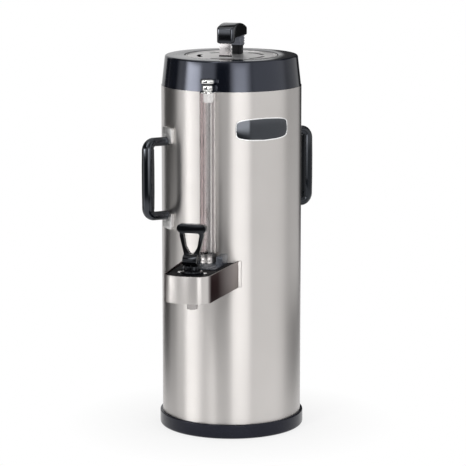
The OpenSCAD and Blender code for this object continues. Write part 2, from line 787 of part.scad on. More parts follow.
module gauge_glass() {
  color(clear) translate([0, -gauge_y, 0])
    tube(glass_d / 2, glass_bore_r, glass_bottom, glass_top);
}

module gauge_shield() {
  color(clear) translate([0, -gauge_y, 0])
    tube(shield_d / 2, shield_d / 2 - shield_wall, glass_bottom, shield_top);
}

module gauge_cap() {
  vent_r = vent_d / 2;
  bulb_low = cap_rim + cap_rim_h;
  round_r = 3;
  disc_low = bulb_top + cap_ring_d;
  disc_top = disc_low + cap_disc_h;
  plug_r = shield_d / 2 - shield_wall - run_gap;
  pocket_r = glass_d / 2 + run_gap;
  bulb_r = cap_bulb_d / 2;
  disc_r = cap_d / 2;
  low = shield_top - cap_plug_h;
  color(bright_steel) translate([0, -gauge_y, 0]) rotate_extrude() polygon(concat(
    [[pocket_r, low], [plug_r - soft_r, low], [plug_r, low + round_r], [plug_r, cap_rim],
     [shield_d / 2, cap_rim], [shield_d / 2, cap_rim + cap_rim_h / 2]],
    arc([bulb_r - round_r, bulb_low + round_r], round_r, -60, 0, 4),
    arc([bulb_r - round_r, bulb_top - round_r], round_r, 0, 90, 4),
    [[bulb_r - cap_ring_d, bulb_top], [bulb_r - cap_ring_d, disc_low]],
    arc([disc_r - soft_r, disc_low + soft_r], soft_r, -90, 0, 4),
    arc([disc_r - 2 * soft_r, disc_top - 2 * soft_r], 2 * soft_r, 0, 90, 4),
    [[vent_r, disc_top], [vent_r, glass_top + seat_gap], [pocket_r, glass_top + seat_gap]]));
}

module cap_ring() {
  ring_r = cap_ring_d / 2 - seat_gap / 2;
  color(rubber) translate([0, -gauge_y, bulb_top + cap_ring_d / 2]) rotate_extrude()
    translate([cap_bulb_d / 2 - cap_ring_d / 2 + run_gap, 0]) circle(r = ring_r, $fn = 24);
}

module coupling_nut() {
  color(bright_steel) difference() {
    translate([0, -nut_start, outlet_z]) rotate([90, 0, 0])
      cylinder(r = nut_af / 2 / cos(30), h = nut_l, $fn = 6);
    front_bar(pipe_r + run_gap, nut_start - over, nut_start + nut_l + over);
  }
}

module coupling_gasket() {
  color(silicone) difference() {
    front_bar(socket_d / 2, gasket_start, gasket_start + nut_gasket_t);
    front_bar(pipe_r + run_gap, gasket_start - over, gasket_start + nut_gasket_t + over);
  }
}

module faucet_body() {
  bottom = outlet_z - body_down;
  top = outlet_z + body_up;
  hold_r = spout_d / 2 - soft_r;
  body_r = body_d / 2;
  ear_r = deck_screw_x - body_r + soft_r / 2;
  color(black) difference() {
    union() {
      translate([0, -faucet_y, 0]) rotate_extrude() polygon([
        [0, bottom], [spout_d / 2 + soft_r, bottom], [body_r, bottom + body_taper], [body_r, top],
        [0, top]]);
      front_bar(socket_d / 2, socket_start, faucet_y);
      for (s = [-1, 1]) translate([s * deck_screw_x, -faucet_y, top - deck_screw_l - over])
        cylinder(r = ear_r, h = deck_screw_l + over);
    }
    front_bar(pipe_r + run_gap, socket_start - over, socket_start + socket_depth + seat_gap);
    front_bar(pipe_bore / 2, socket_start, faucet_y);
    translate([0, -faucet_y, seat_z]) cylinder(d = chamber_d, h = top - seat_z + over);
    translate([0, -faucet_y, bottom - over]) cylinder(d = spout_bore, h = seat_z - bottom + 2 * over);
    translate([0, -faucet_y, bottom - over]) cylinder(r = hold_r + run_gap, h = spout_hold + over);
    for (s = [-1, 1]) translate([s * deck_screw_x, -faucet_y, top - deck_screw_l])
      cylinder(d = deck_screw_d + 2 * run_gap, h = deck_screw_l + over, $fn = screw_fn);
  }
}

module spout_tip() {
  bottom = outlet_z - body_down;
  low = bottom - spout_l;
  tip_r = spout_d / 2;
  bore_r = spout_bore / 2;
  color(bright_steel) translate([0, -faucet_y, 0]) rotate_extrude() polygon(concat(
    [[bore_r, low]],
    arc([tip_r - soft_r, low + soft_r], soft_r, -90, 0, 4),
    [[tip_r, bottom - seat_gap], [tip_r - soft_r, bottom - seat_gap],
     [tip_r - soft_r, bottom + spout_hold - seat_gap], [bore_r, bottom + spout_hold - seat_gap]]));
}

module faucet_bonnet() {
  flange_r = bonnet_flange_d / 2;
  cap_r = bonnet_d / 2;
  spigot_r = chamber_d / 2 - run_gap;
  room_r = spring_room_d / 2;
  flange_top = bonnet_base + bonnet_flange_h;
  color(black) translate([0, -faucet_y, 0]) difference() {
    rotate_extrude() polygon(concat(
      [[room_r, bonnet_low], [spigot_r, bonnet_low], [spigot_r, bonnet_base], [flange_r, bonnet_base]],
      arc([flange_r - soft_r, flange_top - soft_r], soft_r, 0, 90, 4),
      [[cap_r, flange_top]],
      arc([cap_r - soft_r, bonnet_top - soft_r], soft_r, 0, 90, 4),
      [[stem_d / 2 + run_gap, bonnet_top], [stem_d / 2 + run_gap, spring_roof], [room_r, spring_roof]]));
    for (i = [0:flute_count - 1]) rotate([0, 0, 360 * i / flute_count])
      translate([cap_r + flute_r / 2, 0, flange_top + soft_r])
        cylinder(r = flute_r, h = bonnet_h, $fn = 24);
  }
}

module valve_spring() {
  low = cup_top + seat_gap + spring_wire / 2;
  high = spring_roof - seat_gap - spring_wire / 2;
  turn_steps = 16;
  wire_sides = 6;
  steps = spring_turns * turn_steps;
  r = spring_d / 2;
  rise = high - low;
  rings = [for (i = [0:steps]) let (a = 360 * spring_turns * i / steps)
    ring([r * cos(a), r * sin(a) - faucet_y, low + rise * i / steps],
      [cos(a), sin(a), 0], [0, 0, 1], spring_wire / 2, spring_wire / 2, wire_sides)];
  color(bright_steel) loft(rings);
}

module valve_stem() {
  color(bright_steel) difference() {
    union() {
      translate([0, -faucet_y, cup_top - cup_hold + seat_gap])
        cylinder(d = stem_d, h = pin_z - cup_top + cup_hold);
      cross_bar(eye_d / 2, eye_w, faucet_y, pin_z);
    }
    cross_bar(pin_d / 2 + run_gap, eye_w + 2 * over, faucet_y, pin_z);
  }
}

module seat_cup() {
  r = cup_d / 2;
  hold_r = stem_d / 2 + run_gap;
  hold_z = cup_top - cup_hold;
  color(silicone) translate([0, -faucet_y, 0]) rotate_extrude() polygon(concat(
    [[0, cup_bottom + 2 * soft_r], [spout_bore / 3, cup_bottom], [r - soft_r, cup_bottom],
     [r, cup_bottom + soft_r]],
    arc([r - 2 * soft_r, cup_top - 2 * soft_r], 2 * soft_r, 0, 90, 4),
    [[hold_r, cup_top], [hold_r, hold_z], [0, hold_z]]));
}

module lever_pin() {
  color(bright_steel) cross_bar(pin_d / 2, hub_w - soft_r, faucet_y, pin_z);
}

// Front view of the lever above its hub, with the window left open
module lever_outline() {
  bar_r = lever_bar_h / 2;
  bar_z = pin_z + lever_h - bar_r;
  bar_x = lever_w / 2 - bar_r;
  leg_r = 4;
  leg_foot = pin_z + eye_room;
  difference() {
    union() {
      translate([-bar_x, bar_z - bar_r]) square([2 * bar_x, lever_bar_h]);
      for (s = [-1, 1]) translate([s * bar_x, bar_z]) circle(r = bar_r, $fn = screw_fn);
      hull() {
        for (s = [-1, 1]) translate([s * (lever_shoulder_w / 2 - leg_r), window_top - leg_r])
          circle(r = leg_r, $fn = screw_fn);
        for (s = [-1, 1]) translate([s * (hub_w / 2 - leg_r), leg_foot])
          circle(r = leg_r, $fn = screw_fn);
      }
      translate([-hub_w / 2, pin_z]) square([hub_w, eye_room]);
      translate([-lever_shoulder_w / 2, window_top - leg_r]) square([lever_shoulder_w, leg_r + over]);
    }
    hull() {
      for (s = [-1, 1]) translate([s * (window_w / 2 - window_r), window_top - window_r])
        circle(r = window_r, $fn = screw_fn);
      translate([0, window_top - window_side_drop]) circle(r = window_side_r, $fn = 2 * screw_fn);
      translate([0, pin_z + window_rise + window_tip_r]) circle(r = window_tip_r, $fn = screw_fn);
    }
  }
}

// Side view of the room for the stem and its eye in the lever's hub, which is open over the stem's swing
module stem_room() {
  half = stem_d / 2 + cover_gap;
  low = cam_r + over;
  edge = half * [cos(lever_tilt), sin(lever_tilt)];
  reach = edge[0] + (low + edge[1]) * tan(lever_tilt);
  circle(r = eye_room);
  polygon([[-half, 0], [-half, -low], [reach, -low], edge]);
}

module faucet_lever() {
  bar_z = pin_z + lever_h - lever_bar_h;
  color(black) difference() {
    union() {
      cross_bar(cam_r, hub_w, faucet_y, pin_z);
      cross_bar(cam_r, hub_w, faucet_y + cam_reach, pin_z);
      translate([-hub_w / 2, -faucet_y - cam_reach, pin_z - cam_r]) cube([hub_w, cam_reach, 2 * cam_r]);
      translate([0, -faucet_y + lever_leg_t / 2, 0]) rotate([90, 0, 0])
        linear_extrude(lever_leg_t) lever_outline();
      translate([0, -faucet_y + lever_bar_t / 2, 0]) rotate([90, 0, 0]) linear_extrude(lever_bar_t)
        intersection() {
          lever_outline();
          translate([-lever_w, bar_z]) square([2 * lever_w, lever_bar_h]);
        }
    }
    translate([0, -faucet_y, pin_z]) side_slab(eye_w + 2 * cover_gap) stem_room();
    cross_bar(pin_d / 2 + run_gap, hub_w + 2 * over, faucet_y, pin_z);
  }
}

module faucet_shroud() {
  back = shell_r - blank_in;
  color(steel) translate([0, 0, shroud_bottom]) difference() {
    union() {
      linear_extrude(shroud_h) mirror([0, 1]) difference() {
        polygon(shroud_outline(0, back));
        polygon(shroud_outline(band_t, back - over));
      }
      intersection() {
        cylinder(r = shell_r + seat_gap + band_t, h = shroud_h);
        linear_extrude(shroud_h) mirror([0, 1]) difference() {
          polygon(shroud_outline(-flange_w, back));
          polygon(shroud_outline(band_t / 2, back - over));
        }
      }
    }
    translate([0, 0, -over]) cylinder(r = shell_r + seat_gap, h = shroud_h + 2 * over);
  }
}

module shroud_deck() {
  back = shell_r - blank_in;
  color(black) translate([0, 0, deck_bottom]) difference() {
    linear_extrude(deck_t) mirror([0, 1]) polygon(shroud_outline(band_t + cover_gap, back));
    translate([0, 0, -over]) cylinder(r = shell_r + cover_gap, h = deck_t + 2 * over);
    translate([-block_w / 2 - cover_gap, -block_front - cover_gap, -over])
      cube([block_w + 2 * cover_gap, block_front - back, deck_t + 2 * over]);
    translate([0, -faucet_y, -over]) cylinder(d = chamber_d + 2 * run_gap, h = deck_t + 2 * over);
    for (s = [-1, 1]) translate([s * deck_screw_x, -faucet_y, -over])
      cylinder(d = deck_screw_d + 2 * run_gap, h = deck_t + 2 * over, $fn = screw_fn);
  }
}

module deck_screws() {
  color(bright_steel) for (s = [-1, 1])
    translate([s * deck_screw_x, -faucet_y, deck_top + seat_gap]) mirror([0, 0, 1])
      screw(deck_screw_d, deck_head_d, deck_head_h, deck_t + deck_screw_l);
}

// Grip with its arms: a round bar swept round two bends, thin at the arms and full at the grip
module handle_sweep() {
  half = handle_pitch / 2;
  n = 20;
  bend_steps = 7;
  thin = arm_d / 2;
  full = handle_d / 2;
  swell = 0.4;
  arm_start = shell_r + pocket_proud / 2;
  bend_y = grip_r - bend_r;
  arm_end = bend_y - soft_r;
  across = [0, -1, 0];
  lower = concat(
    [for (y = [arm_start, arm_end]) ring([y, 0, -half], across, [0, 0, 1], thin, thin, n)],
    [for (i = [0:bend_steps])
      let (a = -90 + 90 * i / bend_steps, r = thin + (full - thin) * i / bend_steps)
      ring([bend_y + bend_r * cos(a), 0, bend_r - half + bend_r * sin(a)],
        across, [-cos(a), 0, -sin(a)], r, r, n)],
    [ring([grip_r, 0, -half / 3], across, [-1, 0, 0], full + swell, full + swell, n)]);
  upper = [for (i = [len(lower) - 1:-1:0]) [for (p = lower[i]) [p[0], p[1], -p[2]]]];
  loft(concat(lower, upper));
}

// One handle with the foot plates that its brackets hold
module handle(left) {
  handle_side(left) difference() {
    union() {
      translate([0, 0, handle_z]) handle_sweep();
      for (s = [-1, 1]) translate([0, 0, handle_z + s * (handle_pitch / 2 + bracket_shift)])
        intersection() {
          rotate([90, 0, 90]) linear_extrude(shell_r + bracket_proud)
            round_rect(foot_plate_w, foot_plate_h, bracket_corner_r - bracket_sheet);
          cylinder(r = shell_r + pocket_proud - cover_gap, h = bracket_h, center = true);
        }
    }
    cylinder(r = shell_r + seat_gap, h = shell_top);
    for (s = [-1, 1]) translate([0, 0, handle_z + s * handle_pitch / 2]) rotate([0, 90, 0])
      cylinder(d = screw_d + 2 * run_gap, h = shell_r + arm_screw_l + seat_gap, $fn = screw_fn);
  }
}

module left_handle() {
  color(gloss_black) handle(true);
}

module right_handle() {
  color(gloss_black) handle(false);
}

// Pressed steel bracket over the end of a handle's arm: s is 1 for the upper end, -1 for the lower
module bracket(left, s) {
  arm_hole = arm_d / 2 + cover_gap;
  color(steel) handle_side(left) translate([0, 0, handle_z + s * (handle_pitch / 2 + bracket_shift)])
    difference() {
      intersection() {
        rotate([90, 0, 90]) linear_extrude(shell_r + bracket_proud + over)
          round_rect(bracket_w, bracket_h, bracket_corner_r);
        cylinder(r = shell_r + bracket_proud, h = bracket_h + 2 * over, center = true);
      }
      intersection() {
        rotate([90, 0, 90]) linear_extrude(shell_r + bracket_proud + over)
          round_rect(bracket_w - 2 * bracket_sheet, bracket_h - 2 * bracket_sheet,
            bracket_corner_r - bracket_sheet);
        cylinder(r = shell_r + pocket_proud, h = bracket_h + 2 * over, center = true);
      }
      cylinder(r = shell_r + seat_gap, h = bracket_h + 2 * over, center = true);
      translate([0, 0, -s * bracket_shift]) rotate([0, 90, 0])
        cylinder(r = arm_hole, h = shell_r + bracket_proud + over);
      translate([0, -arm_hole, -s * bracket_shift - (s > 0 ? bracket_h : 0)])
        cube([shell_r + bracket_proud + over, 2 * arm_hole, bracket_h]);
    }
}

module left_upper_bracket() {
  bracket(true, 1);
}

module left_lower_bracket() {
  bracket(true, -1);
}

module right_upper_bracket() {
  bracket(false, 1);
}

module right_lower_bracket() {
  bracket(false, -1);
}

module handle_screws() {
  head_seat = sqrt(pow(shell_in_r, 2) - pow(screw_head_d / 2, 2)) - seat_gap;
  color(bright_steel) for (left = [true, false], s = [-1, 1]) handle_side(left)
    translate([head_seat, 0, handle_z + s * handle_pitch / 2]) rotate([0, 90, 0])
      screw(screw_d, screw_head_d, screw_head_h, shell_r - head_seat + arm_screw_l);
}

module lid_plate() {
  bead = [lid_r - lid_bead_r, lid_rim_z + lid_bead_r];
  bead_end = 180 + asin((lid_bead_r - lid_sheet) / lid_bead_r);
  color(bright_steel) difference() {
    rotate_extrude() polygon(concat(
      [[0, lid_rim_z]],
      arc(bead, lid_bead_r, -90, bead_end, 12),
      [[0, lid_top]]));
    for (i = [0:slot_count - 1]) rotate([0, 0, 90 + 360 * (i + 0.5) / slot_count - slot_angle / 2])
      translate([0, 0, lid_rim_z - over]) rotate_extrude(angle = slot_angle)
        translate([slot_circle_r - slot_w / 2, 0]) square([slot_w, lid_sheet + 2 * over]);
    for (s = [-1, 1]) translate([0, post_back + s * lid_screw_pitch / 2, lid_rim_z - over])
      cylinder(d = screw_d + 2 * run_gap, h = lid_sheet + 2 * over, $fn = screw_fn);
  }
}

module lid_plug() {
  r = plug_out_r;
  top = lid_rim_z - seat_gap;
  edge = 3;
  color(black) rotate_extrude() polygon(concat(
    [[0, plug_bottom]],
    arc([r - edge, plug_bottom + edge], edge, -90, 0),
    [[r, top], [r - plug_wall, top], [r - plug_wall, plug_bottom + plug_wall],
     [0, plug_bottom + plug_wall]]));
}

module lid_gasket() {
  out_r = lid_r - 2 * lid_bead_r;
  color(silicone) tube(out_r, out_r - lid_gasket_w, ledge_z + seat_gap / 2, lid_rim_z - seat_gap / 2);
}

module lid_post() {
  foot_low = lid_top + seat_gap;
  neck_low = foot_low + post_foot_h;
  neck_w = post_foot_w + 2 * post_neck_out;
  pitch = post_neck_h / ridge_count;
  foot_corner = 4;
  neck_corner = 3;
  color(black) difference() {
    translate([0, post_back, 0]) {
      translate([0, 0, foot_low]) linear_extrude(post_foot_h)
        round_rect(post_foot_w, post_l, foot_corner);
      translate([0, 0, neck_low]) linear_extrude(post_neck_h) round_rect(neck_w, post_l, neck_corner);
      for (i = [0:ridge_count - 1]) translate([0, 0, neck_low + pitch * (i + 0.5)])
        linear_extrude(pitch / 2)
          round_rect(neck_w + 2 * ridge_out, post_l + 2 * ridge_out, neck_corner + ridge_out);
    }
    for (s = [-1, 1]) translate([0, post_back + s * lid_screw_pitch / 2, lid_top])
      cylinder(d = screw_d + 2 * run_gap, h = grip_lift + over, $fn = screw_fn);
  }
}

// Side view of the grip bar, with +X to the front: arched top, hooked front end, hollowed underside
function grip_side() =
  let (front = grip_l / 2 - grip_back, rear = -grip_l / 2 - grip_back, top = grip_z + grip_t,
    lean = sqrt((grip_crown + grip_fall) / grip_crown), crest = front - grip_l / (lean + 1),
    crown_r = (pow(front - crest, 2) + pow(grip_crown, 2)) / (2 * grip_crown),
    before = asin((front - crest) / crown_r), behind = asin((crest - rear) / crown_r),
    hollow = grip_hook_h - grip_t)
  concat(
    [[rear, grip_z], [front - grip_hook_l, grip_z]],
    arc([front - grip_hook_l, grip_z - hollow], hollow, 90, 0),
    arc([front - 2 * soft_r, grip_z - hollow + 2 * soft_r], 2 * soft_r, -90, 0, 4),
    arc([crest, top + grip_crown - crown_r], crown_r, 90 - before, 90 + behind, 12));

module lid_grip() {
  color(black) difference() {
    intersection() {
      side_slab(grip_w) polygon(grip_side());
      translate([0, grip_back, grip_z - grip_hook_h]) linear_extrude(3 * grip_hook_h)
        round_rect(grip_w, grip_l, grip_corner_r);
    }
    for (s = [-1, 1]) translate([0, post_back + s * lid_screw_pitch / 2, grip_z - over])
      cylinder(d = screw_d + 2 * run_gap, h = lid_screw_top - grip_z + over + seat_gap, $fn = screw_fn);
  }
}

module lid_screws() {
  head = lid_rim_z - seat_gap;
  color(bright_steel) for (s = [-1, 1]) translate([0, post_back + s * lid_screw_pitch / 2, head])
    screw(screw_d, screw_head_d, screw_head_h, lid_screw_top - head);
}

outer_shell();
base_pan();
foot_ring();
base_screws();
vessel_stand();
vacuum_jacket();
liner();
neck_seal();
top_collar();
outlet_pipe();
shell_bush();
gauge_block();
gauge_seat();
gauge_washer();
gauge_glass();
gauge_shield();
gauge_cap();
cap_ring();
coupling_nut();
coupling_gasket();
faucet_body();
faucet_bonnet();
spout_tip();
valve_spring();
valve_stem();
seat_cup();
lever_pin();
faucet_lever();
faucet_shroud();
shroud_deck();
deck_screws();
left_handle();
right_handle();
left_upper_bracket();
left_lower_bracket();
right_upper_bracket();
right_lower_bracket();
handle_screws();
lid_plate();
lid_plug();
lid_gasket();
lid_post();
lid_grip();
lid_screws();
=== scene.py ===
"""Looks of the thermal coffee dispenser: finishes, badge, lid tongue, valve spring, studio and camera."""

import json
import math

import bmesh
import bpy
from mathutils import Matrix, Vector


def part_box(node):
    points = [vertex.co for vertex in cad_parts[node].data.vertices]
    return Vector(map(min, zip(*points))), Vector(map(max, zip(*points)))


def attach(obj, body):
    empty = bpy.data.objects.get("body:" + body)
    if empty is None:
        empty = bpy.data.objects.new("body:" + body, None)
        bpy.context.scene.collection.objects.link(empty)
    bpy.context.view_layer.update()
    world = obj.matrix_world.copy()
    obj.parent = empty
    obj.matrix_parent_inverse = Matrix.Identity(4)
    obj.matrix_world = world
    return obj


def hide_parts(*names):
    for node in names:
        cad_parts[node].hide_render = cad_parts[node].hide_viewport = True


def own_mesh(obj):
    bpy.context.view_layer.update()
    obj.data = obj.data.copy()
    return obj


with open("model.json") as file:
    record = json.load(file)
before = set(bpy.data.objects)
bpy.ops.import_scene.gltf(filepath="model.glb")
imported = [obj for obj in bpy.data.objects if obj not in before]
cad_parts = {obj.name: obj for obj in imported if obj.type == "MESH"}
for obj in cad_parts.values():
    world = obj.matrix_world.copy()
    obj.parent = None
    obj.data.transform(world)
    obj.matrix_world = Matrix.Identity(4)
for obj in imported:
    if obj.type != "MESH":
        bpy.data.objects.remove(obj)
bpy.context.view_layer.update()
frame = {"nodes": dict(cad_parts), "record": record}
nodes = frame["nodes"]
scene = bpy.context.scene

MM = 0.001
FULL_TURN = 2 * math.pi

# Camera at the photograph's place, for a square image
IMAGE_PX = 466
FOCAL_PX = 2349
SENSOR_MM = 36
CAMERA_AZIMUTH = math.radians(17)
CAMERA_DISTANCE = 3.6
CAMERA_SIDE = 0.00244
CAMERA_HEIGHT = 0.955
CAMERA_PITCH = 0.1794
CAMERA_FAR = 60

# Places on the solids. The tube's axis is the Z axis, and the gauge and the faucet stand on -Y
SHELL_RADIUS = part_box("outer_shell")[1].x
SHELL_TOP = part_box("outer_shell")[1].z
SHROUD_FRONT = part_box("faucet_shroud")[0].y
FAUCET_Y = (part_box("faucet_bonnet")[0].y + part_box("faucet_bonnet")[1].y) / 2
LID_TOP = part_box("lid_plate")[1].z
GRIP_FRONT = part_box("lid_grip")[0].y
GRIP_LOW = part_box("lid_grip")[0].z


# Short calls for node trees
def empty_tree(owner):
    """Cleared node tree of a new material or world."""
    owner.use_nodes = True
    owner.node_tree.nodes.clear()
    return owner.node_tree


def put(tree, kind, inputs=None, **settings):
    """New node. inputs maps a socket's name or number to a value, or to the output that feeds it."""
    made = tree.nodes.new(kind)
    for key, value in settings.items():
        setattr(made, key, value)
    for key, value in (inputs or {}).items():
        if isinstance(value, bpy.types.NodeSocket):
            tree.links.new(value, made.inputs[key])
        else:
            made.inputs[key].default_value = value
    return made


def math_node(tree, operation, *values):
    """Number that an operation makes of other numbers."""
    return put(tree, "ShaderNodeMath", dict(enumerate(values)), operation=operation).outputs[0]


def vector_node(tree, operation, *values):
    """Vector that an operation makes of other vectors, or a number for a length or a dot product."""
    made = put(tree, "ShaderNodeVectorMath", dict(enumerate(values)), operation=operation)
    return made.outputs["Value" if operation in ("LENGTH", "DOT_PRODUCT") else "Vector"]


def part_of(tree, vector, axis):
    """Part of a vector along X, Y or Z."""
    return put(tree, "ShaderNodeSeparateXYZ", {0: vector}).outputs[axis]


def own(tree, kind="Object"):
    """A piece's own coordinates; Normal is the way that its surface faces, Generated a ray of the world."""
    return put(tree, "ShaderNodeTexCoord").outputs[kind]


def axis_distance(tree):
    """Distance from the tube's axis."""
    flat = vector_node(tree, "MULTIPLY", own(tree), (1, 1, 0))
    return vector_node(tree, "LENGTH", flat)


def around_axis(tree):
    """Direction round the tube's axis."""
    return put(tree, "ShaderNodeTangent", direction_type="RADIAL", axis="Z").outputs[0]


def noise(tree, scale=1.0, detail=3.0, stretch=(1, 1, 1)):
    """Noise over the piece's own coordinates, in features per metre along each axis."""
    mapped = put(tree, "ShaderNodeMapping", {"Vector": own(tree), "Scale": stretch}).outputs[0]
    made = put(tree, "ShaderNodeTexNoise", {"Vector": mapped, "Scale": scale, "Detail": detail})
    return made.outputs["Fac"]


NOISE_MIDDLE = (0.3, 0.7)


def between(tree, factor, low, high):
    """Value that goes from low to high as a noise goes over the middle of its range."""
    start, end = NOISE_MIDDLE
    sockets = {"Value": factor, "From Min": start, "From Max": end, "To Min": low, "To Max": high}
    return put(tree, "ShaderNodeMapRange", sockets).outputs["Result"]


def tones(tree, factor, dark, light):
    """Colour that goes from dark to light as a noise goes over the middle of its range."""
    ramp = put(tree, "ShaderNodeValToRGB", {"Fac": factor})
    for element, position, colour in zip(ramp.color_ramp.elements, NOISE_MIDDLE, (dark, light)):
        element.position = position
        element.color = (*colour, 1)
    return ramp.outputs["Color"]


def share(tree, value, start, end, curve="LINEAR"):
    """How far a value has come from start to end, from 0 to 1."""
    sockets = {"Value": value, "From Min": start, "From Max": end}
    return put(tree, "ShaderNodeMapRange", sockets, interpolation_type=curve).outputs["Result"]


# Numbers of the sockets that a Mix node has for colours
MIX_FIRST = 6
MIX_SECOND = 7
MIX_RESULT = 2


def mix(tree, factor, first, second):
    """Colour that goes from first to second as factor goes from 0 to 1."""
    sockets = {"Factor": factor, MIX_FIRST: first, MIX_SECOND: second}
    return put(tree, "ShaderNodeMix", sockets, data_type="RGBA").outputs[MIX_RESULT]


def bump(tree, height, depth):
    """Normal of a surface whose relief is as deep as depth."""
    sockets = {"Height": height, "Distance": depth, "Strength": 1.0}
    return put(tree, "ShaderNodeBump", sockets).outputs["Normal"]


def surface(name, build, depth_tint=None):
    """Material whose Principled shader takes the inputs that build(tree) returns."""
    made = bpy.data.materials.new(name)
    tree = empty_tree(made)
    shader = put(tree, "ShaderNodeBsdfPrincipled", build(tree))
    output = put(tree, "ShaderNodeOutputMaterial", {"Surface": shader.outputs[0]})
    if depth_tint:
        colour, density = depth_tint
        dye = put(tree, "ShaderNodeVolumeAbsorption", {"Color": (*colour, 1), "Density": density})
        tree.links.new(dye.outputs[0], output.inputs["Volume"])
    return made


# Finishes: how far relief, gloss and tone wander on each kind, and the turn of the steel's drawn-out gloss
GRAIN_DEPTH = 0.004 * MM
GRAIN_ROUGH = 0.025
GRAIN_TURN = 0.25
METAL_TONE = 0.06
METAL_ROUGH = 0.3
PLASTIC_ROUGH = 0.2
DRAW_LINE_TONE = 0.985
DRAW_LINE_ROUGH = 0.01
# Where the painted dark reflection on the gauge's side starts and where it is full, along X
PAINTED_REFLECTION_START = -1.5 * MM
PAINTED_REFLECTION_FULL = -5 * MM


def grained_steel(dark, light, rough, grain, spread, edge=(1, 1, 1)):
    """Steel with grain round the tube's axis, which draws reflections out along the height."""
    def build(tree):
        lines = noise(tree, detail=4.0, stretch=(14, 14, grain))
        cloud = noise(tree, scale=9.0, detail=2.0)
        return {
            "Base Color": tones(tree, cloud, dark, light),
            "Metallic": 1.0,
            "Specular Tint": (*edge, 1),
            "Roughness": between(tree, lines, rough - GRAIN_ROUGH, rough + GRAIN_ROUGH),
            "Anisotropic": spread,
            "Anisotropic Rotation": GRAIN_TURN,
            "Tangent": around_axis(tree),
            "Normal": bump(tree, lines, GRAIN_DEPTH),
        }
    return build


def polished(colour, rough, marks):
    """Bright turned metal with faint lathe marks, so many to a metre of height."""
    def build(tree):
        turned = noise(tree, detail=2.0, stretch=(60, 60, marks))
        dark = [part * (1 - METAL_TONE) for part in colour]
        light = [min(1.0, part * (1 + METAL_TONE)) for part in colour]
        return {
            "Base Color": tones(tree, turned, dark, light),
            "Metallic": 1.0,
            "Roughness": between(tree, turned, rough * (1 - METAL_ROUGH), rough * (1 + METAL_ROUGH)),
        }
    return build


def moulded(dark, light, rough, ior, grain, depth, sheen=(1, 1, 1)):
    """Moulded plastic with a little tone, gloss that wanders, and the texture of its mould."""
    def build(tree):
        cloud = noise(tree, scale=26.0)
        skin = noise(tree, scale=grain, detail=2.0)
        return {
            "Base Color": tones(tree, cloud, dark, light),
            "Roughness": between(tree, cloud, rough * (1 - PLASTIC_ROUGH), rough * (1 + PLASTIC_ROUGH)),
            "IOR": ior,
            "Specular Tint": (*sheen, 1),
            "Normal": bump(tree, skin, depth),
        }
    return build


def clear_plastic(tint, painted_side_reflection, rough, ior):
    """Clear tube with faint draw lines along its length, and a painted dark reflection on the side of -X."""
    def build(tree):
        lines = noise(tree, detail=2.0, stretch=(900, 900, 6))
        clear = tones(tree, lines, [part * DRAW_LINE_TONE for part in tint], tint)
        # Painted dark reflection: the colour darkens towards -X
        side = share(tree, part_of(tree, own(tree), "X"), PAINTED_REFLECTION_START, PAINTED_REFLECTION_FULL)
        return {
            "Base Color": mix(tree, side, clear, (*painted_side_reflection, 1)),
            "Roughness": between(tree, lines, rough, rough + DRAW_LINE_ROUGH),
            "IOR": ior,
            "Transmission Weight": 1.0,
        }
    return build


# Tints of the light on black plastic
COOL = (0.85, 0.9, 1.0)
DUSK = (0.79, 0.835, 1.0)

SHELL_STEEL = {
    "dark": (0.59, 0.565, 0.547),
    "light": (0.62, 0.595, 0.577),
    "rough": 0.36,
    "grain": 2600,
    "spread": 0.95,
}
SHIELD_DYE = ((0.6, 0.53, 0.53), 40.0)

# Finish of each material slot of the record
FINISHES = {
    "shell_steel": surface("shell_steel", grained_steel(**SHELL_STEEL)),
    "bright_steel": surface("bright_steel", polished((0.8, 0.8, 0.79), rough=0.12, marks=1500)),
    "inner_steel": surface("inner_steel", grained_steel(
        (0.5, 0.5, 0.5), (0.58, 0.58, 0.58), rough=0.4, grain=1800, spread=0.6)),
    "fastener_steel": surface("fastener_steel", polished((0.72, 0.72, 0.71), rough=0.22, marks=3000)),
    "gloss_black": surface("gloss_black", moulded(
        (0.002, 0.003, 0.006), (0.004, 0.005, 0.009),
        rough=0.12, ior=1.53, grain=220, depth=0.01 * MM, sheen=DUSK)),
    "black_plastic": surface("black_plastic", moulded(
        (0.0012, 0.0012, 0.0016), (0.003, 0.003, 0.0036),
        rough=0.1, ior=1.45, grain=1900, depth=0.003 * MM, sheen=COOL)),
    "black_rubber": surface("black_rubber", moulded(
        (0.008, 0.008, 0.01), (0.018, 0.018, 0.021),
        rough=0.7, ior=1.45, grain=2600, depth=0.03 * MM)),
    "silicone": surface("silicone", moulded(
        (0.6, 0.57, 0.5), (0.68, 0.66, 0.6),
        rough=0.5, ior=1.41, grain=1200, depth=0.02 * MM)),
    # The second colour of each clear part is its painted dark reflection on the side of -X
    "clear_shield": surface("clear_shield", clear_plastic(
        (0.97, 0.96, 0.96), (0.66, 0.595, 0.6), rough=0.01, ior=1.49), SHIELD_DYE),
    "gauge_glass": surface("gauge_glass", clear_plastic(
        (0.97, 0.98, 0.98), (0.9, 0.86, 0.86), rough=0.01, ior=1.6)),
}


# The lid's curved slots, with painted shadow in them and on their edges: radius of their middle line, half
# their width with the painted shadow on their edges, share of a fifth of a turn that each takes, and the
# middle of the first, in turns from +X
SLOT_COUNT = 5
SLOT_CIRCLE = 50.0 * MM
SLOT_HALF = 3.2 * MM
SLOT_SHARE = 44 / 72
SLOT_START = 126 / 360
SLOT_PAINTED_SHADOW = (0.006, 0.005, 0.006, 1)
RINGS_PER_METRE = 700.0


